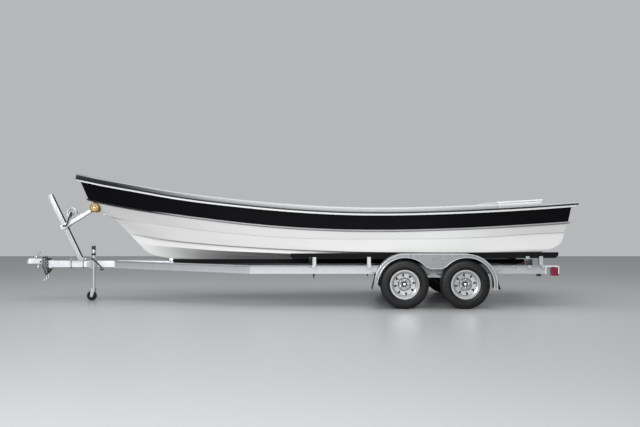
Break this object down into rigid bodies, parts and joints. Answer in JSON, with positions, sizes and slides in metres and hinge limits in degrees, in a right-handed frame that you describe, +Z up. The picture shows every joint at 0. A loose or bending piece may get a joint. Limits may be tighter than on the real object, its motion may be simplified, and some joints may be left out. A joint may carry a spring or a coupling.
{
  "type": "open fishing motorboat on a tandem-axle trailer",
  "caption": "Open fishing motorboat with a raised bow, thwarts and a stern locker, on its tandem-axle bunk trailer with fenders, hand winch, bow roller and swing-up jack.",
  "frame": {"origin": "on the floor, under the centre of the length and width of boat and trailer together", "axes": "+X aft along the boat, with the bow and the coupler at -X; +Y to starboard; +Z up"},
  "size_m": [8.376, 2.39, 1.9771],
  "materials": {
    "hull_white": "white gelcoat, glossy",
    "band_black": "black gelcoat band, high gloss",
    "moulding_grey": "grey moulded ledge",
    "gunwale_grey": "light grey gelcoat",
    "rub_rail_black": "black vinyl rub rail",
    "rub_rail_white": "pale vinyl insert",
    "inside_grey": "light grey gelcoat, lightly speckled",
    "stainless": "polished stainless steel",
    "galvanised": "hot-dip galvanised steel",
    "bunk_carpet": "black marine carpet over timber",
    "spring_black": "black paint",
    "fender_silver": "bright aluminium sheet",
    "roller_amber": "amber polyurethane",
    "caster_rubber": "black rubber",
    "lamp_red": "red lens",
    "tyre": "black rubber",
    "rim_silver": "silver painted steel",
    "hub_grey": "grey cast iron, greased"
  },
  "bodies": {
    "boat_on_trailer": {"aft_thwart": "inside_grey", "bow_eye": "stainless", "bow_stop_arm": "galvanised", "bunk_brackets": "galvanised", "coupler": "galvanised", "coupler_latch": "spring_black", "crossmembers": "galvanised", "equalizers": "galvanised", "fender_brackets": "galvanised", "fender_left": "fender_silver", "fender_right": "fender_silver", "fore_thwart": "inside_grey", "foredeck": "inside_grey", "front_axle": "galvanised", "gunwale_cap": "gunwale_grey", "hull": "hull_white", "inner_bunks": "bunk_carpet", "jack_mount": "galvanised", "knuckle_moulding": "moulding_grey", "leaf_springs": "spring_black", "middle_thwart": "inside_grey", "motor_well": "inside_grey", "mud_flaps": "caster_rubber", "outer_bunks": "bunk_carpet", "quarter_gunwale": "gunwale_grey", "rear_axle": "galvanised", "rub_rail": "rub_rail_black", "rub_rail_bead": "rub_rail_white", "sheer_strake": "band_black", "side_rail_left": "galvanised", "side_rail_right": "galvanised", "sole": "inside_grey", "spring_hangers": "galvanised", "stern_locker": "inside_grey", "tail_lamp_guards": "galvanised", "tail_lamps": "lamp_red", "tongue": "galvanised", "winch_frame": "galvanised", "winch_post": "galvanised"},
    "wheel_front_left": {"front_left_tyre": "tyre", "front_left_rim": "rim_silver", "front_left_hub": "hub_grey"},
    "wheel_front_right": {"front_right_tyre": "tyre", "front_right_rim": "rim_silver", "front_right_hub": "hub_grey"},
    "wheel_rear_left": {"rear_left_tyre": "tyre", "rear_left_rim": "rim_silver", "rear_left_hub": "hub_grey"},
    "wheel_rear_right": {"rear_right_tyre": "tyre", "rear_right_rim": "rim_silver", "rear_right_hub": "hub_grey"},
    "roller": {"bow_roller": "roller_amber"},
    "reel": {"winch_reel": "galvanised"},
    "jack_swing": {"jack_tube": "galvanised", "jack_cap": "spring_black", "jack_crank": "spring_black"},
    "jack_lift": {"jack_leg": "galvanised"},
    "jack_swivel": {"jack_caster": "galvanised"},
    "jack_roll": {"jack_wheel": "caster_rubber"},
    "locker_lid": {"stern_locker_lid": "inside_grey"}
  },
  "joints": [
    {"name": "front_left_wheel_spin", "type": "hinge", "parent": "boat_on_trailer", "child": "wheel_front_left", "pos_m": [1.658, -1.03, 0.3445], "axis": [0, 1, 0], "continuous": true},
    {"name": "front_right_wheel_spin", "type": "hinge", "parent": "boat_on_trailer", "child": "wheel_front_right", "pos_m": [1.658, 1.03, 0.3445], "axis": [0, 1, 0], "continuous": true},
    {"name": "rear_left_wheel_spin", "type": "hinge", "parent": "boat_on_trailer", "child": "wheel_rear_left", "pos_m": [2.519, -1.03, 0.3445], "axis": [0, 1, 0], "continuous": true},
    {"name": "rear_right_wheel_spin", "type": "hinge", "parent": "boat_on_trailer", "child": "wheel_rear_right", "pos_m": [2.519, 1.03, 0.3445], "axis": [0, 1, 0], "continuous": true},
    {"name": "bow_roller_spin", "type": "hinge", "parent": "boat_on_trailer", "child": "roller", "pos_m": [-3.10934, 0, 1.44405], "axis": [0, 1, 0], "continuous": true},
    {"name": "winch_crank_turn", "type": "hinge", "parent": "boat_on_trailer", "child": "reel", "pos_m": [-3.46529, 0, 1.37014], "axis": [0, 1, 0], "continuous": true},
    {"name": "jack_swing_up", "type": "hinge", "parent": "boat_on_trailer", "child": "jack_swing", "pos_m": [-3.15, -0.0635, 0.561], "axis": [0, 1, 0], "range_deg": [0, 90]},
    {"name": "jack_leg_slide", "type": "slide", "parent": "jack_swing", "child": "jack_lift", "axis": [0, 0, 1], "range_m": [-0.05, 0.2]},
    {"name": "jack_caster_swivel", "type": "hinge", "parent": "jack_lift", "child": "jack_swivel", "pos_m": [-3.098, -0.116, 0.19], "axis": [0, 0, 1], "continuous": true},
    {"name": "jack_wheel_spin", "type": "hinge", "parent": "jack_swivel", "child": "jack_roll", "pos_m": [-3.126, -0.116, 0.076], "axis": [0, 1, 0], "continuous": true},
    {"name": "stern_locker_lid_hinge", "type": "hinge", "parent": "boat_on_trailer", "child": "locker_lid", "pos_m": [3.72, 0, 1.5408], "axis": [0, 1, 0], "range_deg": [0, 88]}
  ]
}
